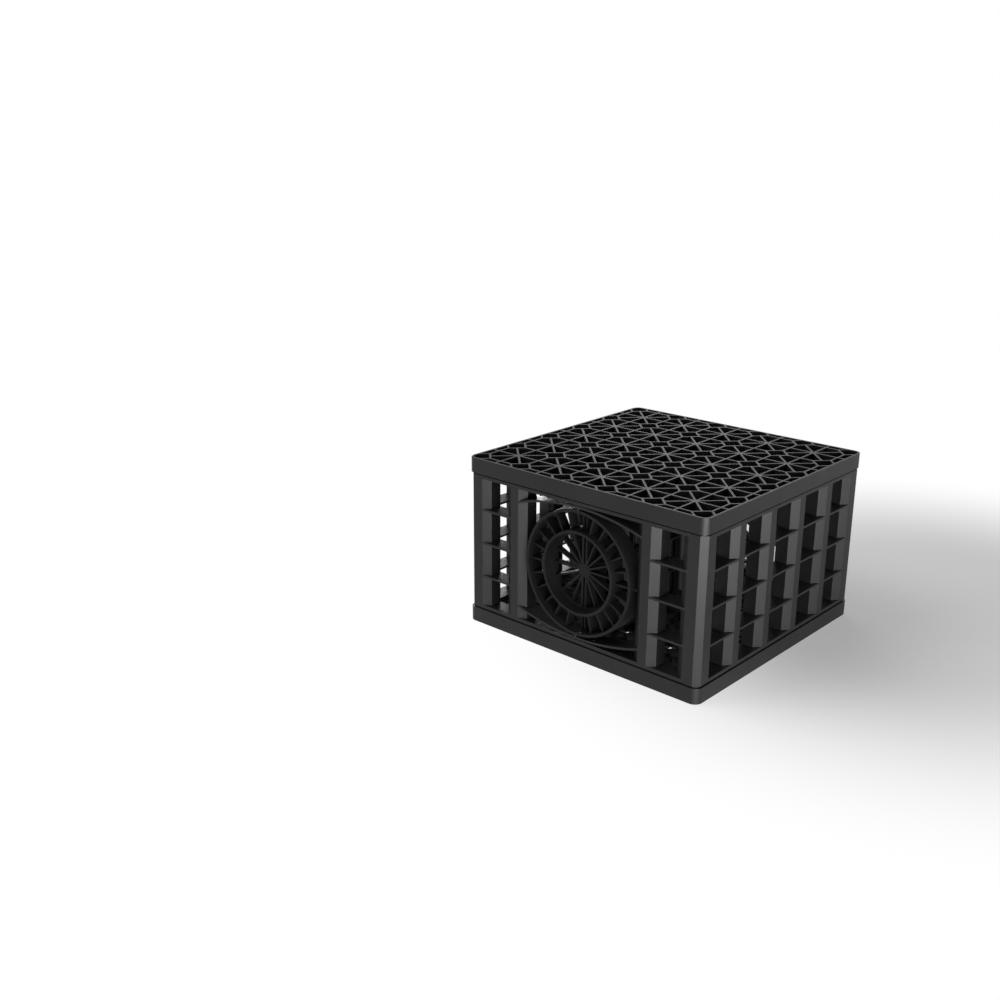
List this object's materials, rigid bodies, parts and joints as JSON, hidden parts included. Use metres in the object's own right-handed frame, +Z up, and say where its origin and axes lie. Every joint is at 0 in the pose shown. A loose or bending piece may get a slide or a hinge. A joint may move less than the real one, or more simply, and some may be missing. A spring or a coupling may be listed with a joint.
{
  "type": "soakaway crate",
  "caption": "Open square lattice crate for a rainwater soakaway, with star-lattice plates above and below, posted side walls and spoked round pipe ports in opposite walls.",
  "frame": {"origin": "middle of the underside, on the surface that the crate stands on", "axes": "+Z up; the port walls face -Y and +Y, and the side walls face -X and +X"},
  "size_m": [0.6, 0.6, 0.375],
  "materials": {
    "black_plastic": "moulded black polypropylene, low sheen"
  },
  "bodies": {
    "root": {"base_plate": "black_plastic", "top_plate": "black_plastic", "port_wall_front": "black_plastic", "port_wall_back": "black_plastic", "side_wall_left": "black_plastic", "side_wall_right": "black_plastic", "inner_panel_left": "black_plastic", "inner_panel_right": "black_plastic"}
  },
  "joints": []
}
